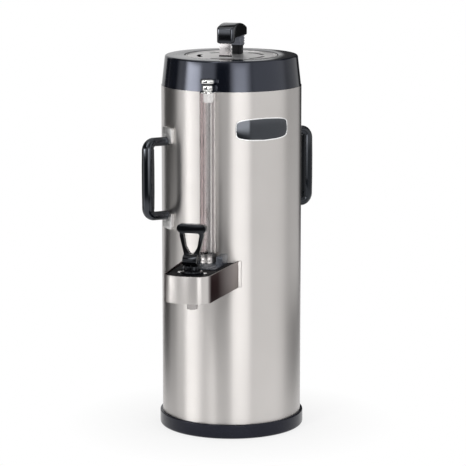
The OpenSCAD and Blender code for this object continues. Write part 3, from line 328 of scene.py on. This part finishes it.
def slot_shade(tree):
    """1 in the lid's slots and on their edges, where shadow is painted."""
    off = math_node(tree, "ABSOLUTE", math_node(tree, "SUBTRACT", axis_distance(tree), SLOT_CIRCLE))
    across = math_node(tree, "LESS_THAN", off, SLOT_HALF)
    place = own(tree)
    angle = math_node(tree, "ARCTAN2", part_of(tree, place, "Y"), part_of(tree, place, "X"))
    turn = math_node(tree, "DIVIDE", angle, FULL_TURN)
    step = math_node(tree, "MULTIPLY", math_node(tree, "SUBTRACT", turn, SLOT_START), SLOT_COUNT)
    nearest = math_node(tree, "ROUND", step)
    off_middle = math_node(tree, "ABSOLUTE", math_node(tree, "SUBTRACT", step, nearest))
    along = math_node(tree, "LESS_THAN", off_middle, SLOT_SHARE / 2)
    return math_node(tree, "MULTIPLY", across, along)


def turned_plate(tree):
    """Lid steel: bright, with grain in circles and painted shadow in and round the slots."""
    sockets = {"W": axis_distance(tree), "Scale": RINGS_PER_METRE, "Detail": 3.0}
    rings = put(tree, "ShaderNodeTexNoise", sockets, noise_dimensions="1D").outputs["Fac"]
    steel = tones(tree, rings, (0.8, 0.785, 0.78), (0.86, 0.845, 0.84))
    # Painted shadow: black, matte and not metallic in the slots and on their edges
    dark = slot_shade(tree)
    return {
        "Base Color": mix(tree, dark, steel, SLOT_PAINTED_SHADOW),
        "Metallic": math_node(tree, "SUBTRACT", 1.0, dark),
        "Roughness": math_node(tree, "MAXIMUM", between(tree, rings, 0.36, 0.44), dark),
        "Anisotropic": 0.3,
        "Tangent": around_axis(tree),
    }


# The shroud's flat sides, which carry a painted dark reflection: tones from front to back, the stretch
# between them, and how squarely a face has to look along X to count as a side
SHROUD_EDGE = (0.05, 0.03, 0.035)
PAINTED_SIDE_DARK = (0.15, 0.13, 0.13, 1)
PAINTED_SIDE_LIGHT = (0.64, 0.6, 0.59, 1)
SIDE_FRONT = SHROUD_FRONT + 50 * MM
SIDE_BACK = SHROUD_FRONT + 118 * MM
SIDE_STARTS = 0.86
SIDE_FULL = 0.995


def shroud_sheet_painted_reflection(tree):
    """Shroud steel. Its flat sides carry a painted brown reflection, darker than the round front and darkest
    near the front.
    """
    sockets = grained_steel(**SHELL_STEEL, edge=SHROUD_EDGE)(tree)
    # Painted reflection on the flat sides: dark at the front, lighter towards the back
    along = share(tree, part_of(tree, own(tree), "Y"), SIDE_FRONT, SIDE_BACK)
    side = mix(tree, along, PAINTED_SIDE_DARK, PAINTED_SIDE_LIGHT)
    facing = math_node(tree, "ABSOLUTE", part_of(tree, own(tree, "Normal"), "X"))
    flat = share(tree, facing, SIDE_STARTS, SIDE_FULL)
    sockets["Base Color"] = mix(tree, flat, sockets["Base Color"], side)
    return sockets


NECK_Z = LID_TOP + 12.8 * MM
POST_BLACK = (0.003, 0.003, 0.004, 1)


def post_plastic(tree):
    """Lid post: black, with a painted slate-grey reflection on its ridged neck."""
    cloud = noise(tree, scale=60.0)
    neck = math_node(tree, "GREATER_THAN", part_of(tree, own(tree), "Z"), NECK_Z)
    # Painted reflection: the neck above NECK_Z is coloured slate grey instead of black
    neck_painted_reflection = tones(tree, cloud, (0.12, 0.127, 0.148), (0.15, 0.158, 0.183))
    return {
        "Base Color": mix(tree, neck, POST_BLACK, neck_painted_reflection),
        "Roughness": between(tree, cloud, 0.26, 0.36),
        "IOR": 1.3,
    }


# Nodes with a finish of their own
BRACKETS = [side + level + "_bracket" for side in ("left_", "right_") for level in ("upper", "lower")]
HANDLE_IOR = {"left_handle": 1.66, "right_handle": 1.48}
DECK_BLACK = surface("deck_black", moulded(
    (0.002, 0.002, 0.003), (0.005, 0.005, 0.006),
    rough=0.55, ior=1.18, grain=1400, depth=0.01 * MM))
BRACKET_STEEL = surface("bracket_steel", polished((0.84, 0.83, 0.82), rough=0.42, marks=700))
NODE_FINISHES = {
    "faucet_shroud": surface("shroud_steel", shroud_sheet_painted_reflection),
    "shroud_deck": DECK_BLACK,
    "spout_tip": surface("spout_steel", polished((0.4, 0.38, 0.37), rough=0.16, marks=900)),
    "base_pan": surface("base_black", moulded(
        (0.003, 0.003, 0.008), (0.006, 0.006, 0.013),
        rough=0.22, ior=1.36, grain=300, depth=0.01 * MM, sheen=COOL)),
    "gauge_seat": surface("seat_steel", polished((0.44, 0.42, 0.41), rough=0.34, marks=900)),
    # Gauge block: black plastic lightened to grey-blue, a painted sheen of the light on its top
    "gauge_block": surface("block_black_painted_sheen", moulded(
        (0.05, 0.055, 0.066), (0.085, 0.092, 0.108),
        rough=0.22, ior=1.6, grain=900, depth=0.006 * MM, sheen=COOL)),
    "lid_plate": surface("lid_steel", turned_plate),
    "lid_post": surface("post_black", post_plastic),
    "lid_grip": surface("grip_black", moulded(
        (0.001, 0.001, 0.0014), (0.0025, 0.0025, 0.003),
        rough=0.1, ior=1.72, grain=1900, depth=0.003 * MM, sheen=COOL)),
}
NODE_FINISHES.update(dict.fromkeys(BRACKETS, BRACKET_STEEL))
for name, ior in HANDLE_IOR.items():
    NODE_FINISHES[name] = surface(name + "_black", moulded(
        (0.001, 0.002, 0.003), (0.002, 0.003, 0.005),
        rough=0.09, ior=ior, grain=220, depth=0.008 * MM, sheen=COOL))


# Shading: angles under which a mesh is flat or smooth and over which its edges are rounded
FLAT_ANGLE = math.radians(0.2)
SMOOTH_ANGLE = math.radians(32)
EDGE_ANGLE = math.radians(35)
EDGE_SEGMENTS = 3
SEAM_GAP = 0.002 * MM


def smooth_group():
    """Modifier that smooths each edge under the angle and leaves the rest sharp."""
    group = bpy.data.node_groups.new("smooth_by_angle", "GeometryNodeTree")
    for way in ("INPUT", "OUTPUT"):
        group.interface.new_socket("Geometry", in_out=way, socket_type="NodeSocketGeometry")
    angle = put(group, "GeometryNodeInputMeshEdgeAngle").outputs["Unsigned Angle"]
    soft = put(group, "FunctionNodeCompare", {0: angle, 1: SMOOTH_ANGLE}, operation="LESS_THAN").outputs[0]
    mesh = put(group, "NodeGroupInput").outputs[0]
    for domain, smooth in (("FACE", True), ("EDGE", soft)):
        sockets = {"Geometry": mesh, "Shade Smooth": smooth}
        mesh = put(group, "GeometryNodeSetShadeSmooth", sockets, domain=domain).outputs[0]
    put(group, "NodeGroupOutput", {0: mesh})
    return group


SMOOTH = smooth_group()


def shade(piece, edge=0.0, clamp=True):
    """Joins a mesh's seams, rounds its sharp edges by edge metres and smooths what is left."""
    weld = piece.modifiers.new("seams", "WELD")
    weld.merge_threshold = SEAM_GAP
    if edge:
        flat = piece.modifiers.new("flat_faces", "DECIMATE")
        flat.decimate_type = "DISSOLVE"
        flat.angle_limit = FLAT_ANGLE
        soft = piece.modifiers.new("soft_edges", "BEVEL")
        soft.width = edge
        soft.segments = EDGE_SEGMENTS
        soft.limit_method = "ANGLE"
        soft.angle_limit = EDGE_ANGLE
        soft.use_clamp_overlap = clamp
    piece.modifiers.new("smooth", "NODES").node_group = SMOOTH


# Rounding of the nodes' edges. The grip's is wider than its shortest edges, so it isn't clamped
EDGES = {
    "faucet_shroud": 0.5 * MM,
    "shroud_deck": 0.4 * MM,
    "gauge_block": 0.8 * MM,
    "faucet_lever": 2.0 * MM,
    "lid_grip": 2.2 * MM,
    "lid_post": 0.5 * MM,
}
EDGES.update(dict.fromkeys(BRACKETS, 0.5 * MM))

slot_of = {entry["node"]: entry["material_slot"] for entry in frame["record"]["subparts"]}
for name, piece in nodes.items():
    piece.data.materials.clear()
    piece.data.materials.append(NODE_FINISHES.get(name) or FINISHES[slot_of[name]])
    shade(piece, EDGES.get(name, 0.0), clamp=name != "lid_grip")


# New pieces
MERGE_GAP = 0.01 * MM


def new_piece(name, mesh_maker, finish, body="dispenser"):
    """Piece made by mesh_maker(bmesh), with its finish and the body that it rides on."""
    mesh = bpy.data.meshes.new(name)
    work = bmesh.new()
    mesh_maker(work)
    bmesh.ops.remove_doubles(work, verts=work.verts, dist=MERGE_GAP)
    bmesh.ops.recalc_face_normals(work, faces=work.faces)
    work.to_mesh(mesh)
    work.free()
    piece = bpy.data.objects.new(name, mesh)
    scene.collection.objects.link(piece)
    mesh.materials.append(finish)
    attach(piece, body)
    return piece


def strip(work, loops, closed=True):
    """Quads between neighbouring loops of points."""
    rows = [[work.verts.new(point) for point in loop] for loop in loops]
    count = len(rows[0])
    for first, second in zip(rows, rows[1:]):
        for i in range(count if closed else count - 1):
            j = (i + 1) % count
            work.faces.new((first[i], first[j], second[j], second[i]))


# Bare badge plate and its rim, on the tube's front right. BADGE_BOW is how far the short and the long
# sides draw in towards the corners
BADGE_AZIMUTH = math.radians(44.1)
BADGE_Z = SHELL_TOP - 56.8 * MM
BADGE_HALF = (45.4 * MM, 17.6 * MM)
BADGE_BOW = (1.2 * MM, 3.4 * MM)
BADGE_CORNER = 5.5 * MM
BADGE_STEPS = 120
# Rim's section: inset from the badge's edge and height over the tube, in millimetres
RIM_SECTION = (
    (0, 0.05), (0, 0.9), (0.2, 1.2), (0.6, 1.35), (1.2, 1.35), (1.6, 1.2), (1.8, 0.9), (1.8, 0.05))
PLATE_INSET = 1.7 * MM
PLATE_ROWS = 12
PLATE_BACK = 0.1 * MM
PLATE_EDGE = 0.8 * MM
PLATE_CROWN = 0.36 * MM


def badge_point(x, y, height):
    """Point over the tube's wall, x along its curve and y up from the badge's middle."""
    turn = BADGE_AZIMUTH + x / SHELL_RADIUS
    reach = SHELL_RADIUS + height
    return Vector((reach * math.sin(turn), -reach * math.cos(turn), BADGE_Z + y))


def badge_outline(inset):
    """Rectangle with round corners and bowed sides, set in from the badge's edge."""
    half_x, half_y = (size - inset for size in BADGE_HALF)
    roundness = (BADGE_CORNER - inset) / half_y
    points = []
    for i in range(BADGE_STEPS):
        turn = FULL_TURN * i / BADGE_STEPS
        cosine = math.cos(turn)
        sine = math.sin(turn)
        x = math.copysign(abs(cosine) ** roundness, cosine) * half_x
        y = math.copysign(abs(sine) ** roundness, sine) * half_y
        bow_x = BADGE_BOW[0] * (y / half_y) ** 2 * (x / half_x)
        bow_y = BADGE_BOW[1] * (x / half_x) ** 2 * (y / half_y)
        points.append((x - bow_x, y - bow_y))
    return points


def make_badge_rim(work):
    """Closed ring that sweeps the rim's section round the badge."""
    loops = [[badge_point(x, y, height * MM) for x, y in badge_outline(inset * MM)]
             for inset, height in RIM_SECTION]
    strip(work, loops + loops[:1])


def make_badge_plate(work):
    """Crowned plate inside the rim, in rows along its length so that it follows the tube."""
    half = badge_outline(PLATE_INSET)[:BADGE_STEPS // 2 + 1]
    levels = [1 - 2 * j / PLATE_ROWS for j in range(PLATE_ROWS + 1)]
    face = [[badge_point(x, y * t, PLATE_EDGE + PLATE_CROWN * (1 - t * t)) for x, y in half] for t in levels]
    back = [[badge_point(x, y * t, PLATE_BACK) for x, y in half] for t in levels]
    for grid in (face, back, [face[0], back[0]], [face[-1], back[-1]]):
        strip(work, grid, closed=False)


badge_border = surface("badge_border", polished((0.9, 0.9, 0.9), rough=0.25, marks=900))
badge_enamel = surface("badge_enamel", moulded(
    (0.003, 0.004, 0.005), (0.007, 0.008, 0.01),
    rough=0.1, ior=1.95, grain=300, depth=0.003 * MM, sheen=COOL))
for piece in (new_piece("badge_rim", make_badge_rim, badge_border),
              new_piece("badge_plate", make_badge_plate, badge_enamel)):
    shade(piece)


# Steel tongue that stands on the lid under the front of its grip, on a thin black foot
TONGUE_HALF = 9.2 * MM
TONGUE_INSET = 2.6 * MM
TONGUE_THICK = 2.5 * MM
TONGUE_EDGE = 0.4 * MM
FOOT_HEIGHT = 2.3 * MM
FOOT_LIP = 0.6 * MM


def tongue_box(low, high, grow=0.0):
    """Maker of a block across the lid's middle, behind the front of the grip."""
    middle = Vector((0, GRIP_FRONT + TONGUE_INSET + TONGUE_THICK / 2, (low + high) / 2))
    size = Vector((2 * (TONGUE_HALF + grow), TONGUE_THICK + 2 * grow, high - low))

    def make(work):
        block = bmesh.ops.create_cube(work, size=1.0)["verts"]
        bmesh.ops.scale(work, vec=size, verts=block)
        bmesh.ops.translate(work, vec=middle, verts=block)
    return make


tongue_steel = surface("tongue_steel", polished((0.72, 0.69, 0.69), rough=0.3, marks=90))
foot_top = LID_TOP + FOOT_HEIGHT
make_foot = tongue_box(LID_TOP, foot_top, FOOT_LIP)
make_tongue = tongue_box(foot_top, GRIP_LOW)
for piece in (new_piece("lid_tongue_foot", make_foot, DECK_BLACK, "lid"),
              new_piece("lid_tongue", make_tongue, tongue_steel, "lid")):
    shade(piece, TONGUE_EDGE)


# Valve spring: the same coil as the solid's, with a round wire. The real spring shortens as the stem lifts;
# this coil keeps one length
SPRING_WIRE = 1.4 * MM
SPRING_TURNS = 7
TURN_STEPS = 32
WIRE_SIDES = 12
spring_low, spring_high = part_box("valve_spring")
SPRING_RADIUS = (spring_high.x - spring_low.x - SPRING_WIRE) / 2
SPRING_HEIGHT = spring_high.z - spring_low.z


def make_spring(work):
    """Wire rings along the coil, with a flat face on each end."""
    steps = SPRING_TURNS * TURN_STEPS
    rise = SPRING_HEIGHT - SPRING_WIRE
    foot = Vector((0, FAUCET_Y, spring_low.z + SPRING_WIRE / 2))
    up = Vector((0, 0, 1))
    sides = [FULL_TURN * i / WIRE_SIDES for i in range(WIRE_SIDES)]
    rings = []
    for i in range(steps + 1):
        turn = FULL_TURN * i / TURN_STEPS
        out = Vector((math.cos(turn), math.sin(turn), 0))
        middle = foot + out * SPRING_RADIUS + up * (rise * i / steps)
        spokes = [out * math.cos(side) + up * math.sin(side) for side in sides]
        rings.append([middle + spoke * SPRING_WIRE / 2 for spoke in spokes])
    strip(work, rings)
    for ring in (rings[0], rings[-1]):
        work.faces.new([work.verts.new(point) for point in ring])


spring = new_piece("valve_spring_coil", make_spring, FINISHES["inner_steel"])
shade(spring)
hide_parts("valve_spring")
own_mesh(spring)


# Studio: a pale floor, cards and soft panels round the object, and the camera
WHITE = (1, 1, 1, 1)
FLOOR_RADIUS = 1.3
FLOOR_SIDES = 96
FLOOR_GREY = (0.85, 0.85, 0.85, 1)
# Share of white on the floor close to the foot and farther out, and the stretch over which it rises
WHITE_NEAR = 0.8
WHITE_FAR = 1.0
RISE_START = 0.11
RISE_END = 0.26


def studio_point(right, back, height=0.0):
    """Point given from the object's foot: to the camera's right, away from the camera, and up."""
    sine = math.sin(CAMERA_AZIMUTH)
    cosine = math.cos(CAMERA_AZIMUTH)
    return (right * cosine - back * sine, right * sine + back * cosine, height)


def stage_piece(name, points, material):
    """Flat piece of the studio, which isn't part of the object."""
    mesh = bpy.data.meshes.new(name)
    mesh.from_pydata(points, [], [range(len(points))])
    mesh.materials.append(material)
    piece = bpy.data.objects.new(name, mesh)
    scene.collection.objects.link(piece)
    return piece


def mixed_paper(name, factor, first, second):
    """Material that mixes two shaders by a factor, each made by a function of the material's tree."""
    paper = bpy.data.materials.new(name)
    tree = empty_tree(paper)
    sockets = {0: factor(tree), 1: first(tree), 2: second(tree)}
    mixed = put(tree, "ShaderNodeMixShader", sockets).outputs[0]
    put(tree, "ShaderNodeOutputMaterial", {"Surface": mixed})
    return paper


def glow(strength):
    """Maker of a white light of that strength."""
    def make(tree):
        return put(tree, "ShaderNodeEmission", {"Color": WHITE, "Strength": strength}).outputs[0]
    return make


def matte(tree):
    """Pale grey of the floor, which takes the object's shadow."""
    return put(tree, "ShaderNodeBsdfDiffuse", {"Color": FLOOR_GREY}).outputs[0]


def gap(tree):
    """Nothing, where a card has faded out."""
    return put(tree, "ShaderNodeBsdfTransparent").outputs[0]


def floor_white(tree):
    """Share of white on the rays that show the background: to the camera, in gloss and through glass."""
    path = put(tree, "ShaderNodeLightPath").outputs
    seen = math_node(tree, "MAXIMUM", path["Is Camera Ray"], path["Is Glossy Ray"])
    seen = math_node(tree, "MAXIMUM", seen, path["Is Transmission Ray"])
    place = put(tree, "ShaderNodeNewGeometry").outputs["Position"]
    sockets = {
        "Value": vector_node(tree, "LENGTH", place),
        "From Min": RISE_START,
        "From Max": RISE_END,
        "To Min": WHITE_NEAR,
        "To Max": WHITE_FAR,
    }
    rise = put(tree, "ShaderNodeMapRange", sockets).outputs["Result"]
    return math_node(tree, "MULTIPLY", rise, seen)


def make_floor():
    """Round floor under the object."""
    turns = [FULL_TURN * i / FLOOR_SIDES for i in range(FLOOR_SIDES)]
    rim = [(FLOOR_RADIUS * math.cos(turn), FLOOR_RADIUS * math.sin(turn), 0) for turn in turns]
    stage_piece("floor", rim, mixed_paper("floor_paper", floor_white, matte, glow(1.0)))


# Cards that stand round the object and show in its gloss alone: first and last end as (right, back),
# low and high edge, strength of the light, and the stretch of the card over which it fades in
CARDS = {
    "right_low_flag": ((0.3, -0.16), (0.36, 0.6), 0.0, 0.13, 0.18, 0.0, 0.4),
    "grip_flag": ((0.338, 0.376), (0.222, 0.454), 0.46, 0.75, 0.02, 0.0, 0.1),
    "left_flag": ((-0.5, 0.16), (-0.56, 0.62), 0.0, 0.75, 0.02, 0.08, 0.4),
    "left_low_flag": ((-0.28, -0.06), (-0.34, 0.5), 0.0, 0.16, 0.06, 0.0, 0.5),
    "back_card": ((0.1, 1.3), (-1.7, 1.2), 0.66, 1.3, 0.7, 0.0, 0.015),
    "back_low_card": ((0.02, 1.3), (-1.7, 1.2), 0.0, 0.66, 0.7, 0.0, 0.03),
}
CARD_CORNERS = ((0, 0), (1, 0), (1, 1), (0, 1))


def card_fade(start, end):
    """Maker of the share of a card that shows, which rises along its length from start to end."""
    def make(tree):
        place = put(tree, "ShaderNodeUVMap", uv_map="card").outputs[0]
        return share(tree, part_of(tree, place, "X"), start, end, "SMOOTHSTEP")
    return make


def make_cards():
    """Upright cards, with their length as the first axis of their own map."""
    for name, (first, last, low, high, strength, start, end) in CARDS.items():
        ends = ((first, low), (last, low), (last, high), (first, high))
        corners = [studio_point(*foot, height) for foot, height in ends]
        paper = mixed_paper(name + "_paper", card_fade(start, end), gap, glow(strength))
        card = stage_piece(name, corners, paper)
        layer = card.data.uv_layers.new(name="card")
        for loop, place in zip(layer.data, CARD_CORNERS):
            loop.uv = place
        card.visible_camera = False
        card.visible_diffuse = False
        card.visible_transmission = False
        card.visible_shadow = False


# Each panel: azimuth from the camera, half its width, edge softness, low and high edge, softness of
# these, all in degrees, and its strength
PANELS = {
    "right_key": (15, 15.5, 4, -9, 16, 3, 2.8),
    "right_core": (15, 7, 7, 1, 9, 2.5, 2.8),
    "right_fill": (66, 33, 8, -3, 34, 3, 1.24),
    "right_gap": (66, 33, 8, -16, -3, 3, 0.5),
    "right_low_fill": (50, 49, 8, -28, -16, 3, 1.15),
    "right_back": (125, 24, 8, -30, 20, 6, 0.55),
    "left_key": (-67.5, 9, 9, 0.5, 8, 2.5, 11.0),
    "left_side": (-86, 12, 8, -20, 14, 4, 1.0),
    "left_fill": (-42, 14, 5, 0, 14, 4, 1.9),
    "left_low_fill": (-46, 46, 8, -28, -14, 2, 0.8),
    "front_strip": (-34, 5, 4, 28, 75, 6, 5.5),
    "front_top": (-6, 16, 8, 14, 50, 6, 0.8),
    "overhead": (180, 181, 1, 44, 90, 8, 0.8),
}
AMBIENT = 0.05
# Part of the white background that shows in gloss, as a panel
BACKDROP = (188, 16, 6, -30, 0, 3, 1.0)
HALF_CIRCLE = 180
ZENITH = 90


def panel_glow(tree, level, height, azimuth, half, soft, low, high, edge_soft, strength):
    """Light of one panel of the world, by the level direction and the height of a ray."""
    light = strength
    if half < HALF_CIRCLE:
        turn = CAMERA_AZIMUTH + math.radians(azimuth)
        facing = (math.sin(turn), -math.cos(turn), 0)
        toward = vector_node(tree, "DOT_PRODUCT", level, facing)
        outer = math.cos(math.radians(half + soft))
        inner = math.cos(math.radians(max(0, half - soft)))
        light = math_node(tree, "MULTIPLY", light, share(tree, toward, outer, inner, "SMOOTHSTEP"))
    for edge, sign in ((low, 1), (high, -1)):
        if abs(edge) < ZENITH:
            start = math.sin(math.radians(edge - sign * edge_soft))
            end = math.sin(math.radians(edge + sign * edge_soft))
            light = math_node(tree, "MULTIPLY", light, share(tree, height, start, end, "SMOOTHSTEP"))
    return light


def make_world():
    """Light of all panels, and white where the background itself is seen."""
    scene.world = bpy.data.worlds.new("studio")
    tree = empty_tree(scene.world)
    look = own(tree, "Generated")
    level = vector_node(tree, "NORMALIZE", vector_node(tree, "MULTIPLY", look, (1, 1, 0)))
    height = part_of(tree, look, "Z")
    total = AMBIENT
    for panel in PANELS.values():
        total = math_node(tree, "ADD", total, panel_glow(tree, level, height, *panel))
    path = put(tree, "ShaderNodeLightPath").outputs
    behind = panel_glow(tree, level, height, *BACKDROP)
    mirrored = math_node(tree, "MULTIPLY", path["Is Glossy Ray"], behind)
    shown = math_node(tree, "MAXIMUM", path["Is Camera Ray"], path["Is Transmission Ray"])
    shown = math_node(tree, "MAXIMUM", shown, mirrored)
    hidden = math_node(tree, "SUBTRACT", 1.0, shown)
    strength = math_node(tree, "ADD", math_node(tree, "MULTIPLY", total, hidden), shown)
    light = put(tree, "ShaderNodeBackground", {"Color": WHITE, "Strength": strength}).outputs[0]
    put(tree, "ShaderNodeOutputWorld", {"Surface": light})


def make_camera():
    """Camera at the photograph's place, pitched down at the object."""
    data = bpy.data.cameras.new("camera")
    data.sensor_width = SENSOR_MM
    data.lens = SENSOR_MM * FOCAL_PX / IMAGE_PX
    data.clip_end = CAMERA_FAR
    camera = bpy.data.objects.new("camera", data)
    scene.collection.objects.link(camera)
    camera.location = studio_point(CAMERA_SIDE, -CAMERA_DISTANCE, CAMERA_HEIGHT)
    camera.rotation_euler = (math.pi / 2 - CAMERA_PITCH, 0, CAMERA_AZIMUTH)
    scene.camera = camera


make_floor()
make_cards()
make_world()
make_camera()
scene.view_settings.view_transform = "Standard"
